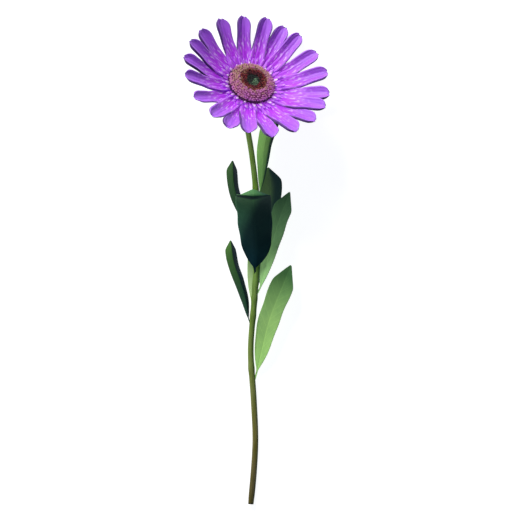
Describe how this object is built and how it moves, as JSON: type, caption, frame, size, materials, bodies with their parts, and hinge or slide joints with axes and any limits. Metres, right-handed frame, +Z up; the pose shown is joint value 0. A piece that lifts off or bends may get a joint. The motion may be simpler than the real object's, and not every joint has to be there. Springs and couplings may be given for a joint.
{
  "type": "cut gerbera",
  "caption": "Cut daisy-like flower lying down: leafy curved stem, nodding cupped violet head with a dark raised disc.",
  "frame": {"origin": "middle of the whole flower's box, at the surface that it lies on", "axes": "+Y runs along the stem from the cut end to the flower head, +X to the right seen from above, +Z up from the surface"},
  "size_m": [0.1132, 0.3926, 0.0738],
  "materials": {
    "ray": "satin petal, magenta-violet at its foot and lilac towards the tip, with lengthwise pleats",
    "trans_floret": "satin short petal, violet with a pale lilac tip",
    "open_floret": "matt, dusty pink and tan, fuzzy",
    "unopened_floret": "matt, dark brownish red",
    "bud": "matt, dark blue-green",
    "stem": "satin olive green with fine ribs and down, browner towards the cut end",
    "leaf": "satin leaf green with a paler midrib and veins",
    "bract": "matt downy green with a dark tip"
  },
  "bodies": {
    "root": {"scape": "stem", "leaf_lower_right": "leaf", "leaf_lower_left": "leaf", "leaf_middle_right": "leaf", "leaf_back": "leaf", "leaf_front": "leaf", "leaf_upper_left": "leaf", "leaf_upper_right": "leaf", "ray_floret_01": "ray", "ray_floret_02": "ray", "ray_floret_03": "ray", "ray_floret_04": "ray", "ray_floret_05": "ray", "ray_floret_06": "ray", "ray_floret_07": "ray", "ray_floret_08": "ray", "ray_floret_09": "ray", "ray_floret_10": "ray", "ray_floret_11": "ray", "ray_floret_12": "ray", "ray_floret_13": "ray", "ray_floret_14": "ray", "ray_floret_15": "ray", "ray_floret_16": "ray", "ray_floret_17": "ray", "ray_floret_18": "ray", "ray_floret_19": "ray", "ray_floret_20": "ray", "trans_floret_crown": "trans_floret", "open_disc_florets": "open_floret", "unopened_disc_florets": "unopened_floret", "centre_buds": "bud", "bract_inner_01": "bract", "bract_inner_02": "bract", "bract_inner_03": "bract", "bract_inner_04": "bract", "bract_inner_05": "bract", "bract_inner_06": "bract", "bract_inner_07": "bract", "bract_inner_08": "bract", "bract_inner_09": "bract", "bract_inner_10": "bract", "bract_outer_01": "bract", "bract_outer_02": "bract", "bract_outer_03": "bract", "bract_outer_04": "bract", "bract_outer_05": "bract", "bract_outer_06": "bract", "bract_outer_07": "bract", "bract_outer_08": "bract", "bract_outer_09": "bract", "bract_outer_10": "bract"}
  },
  "joints": []
}
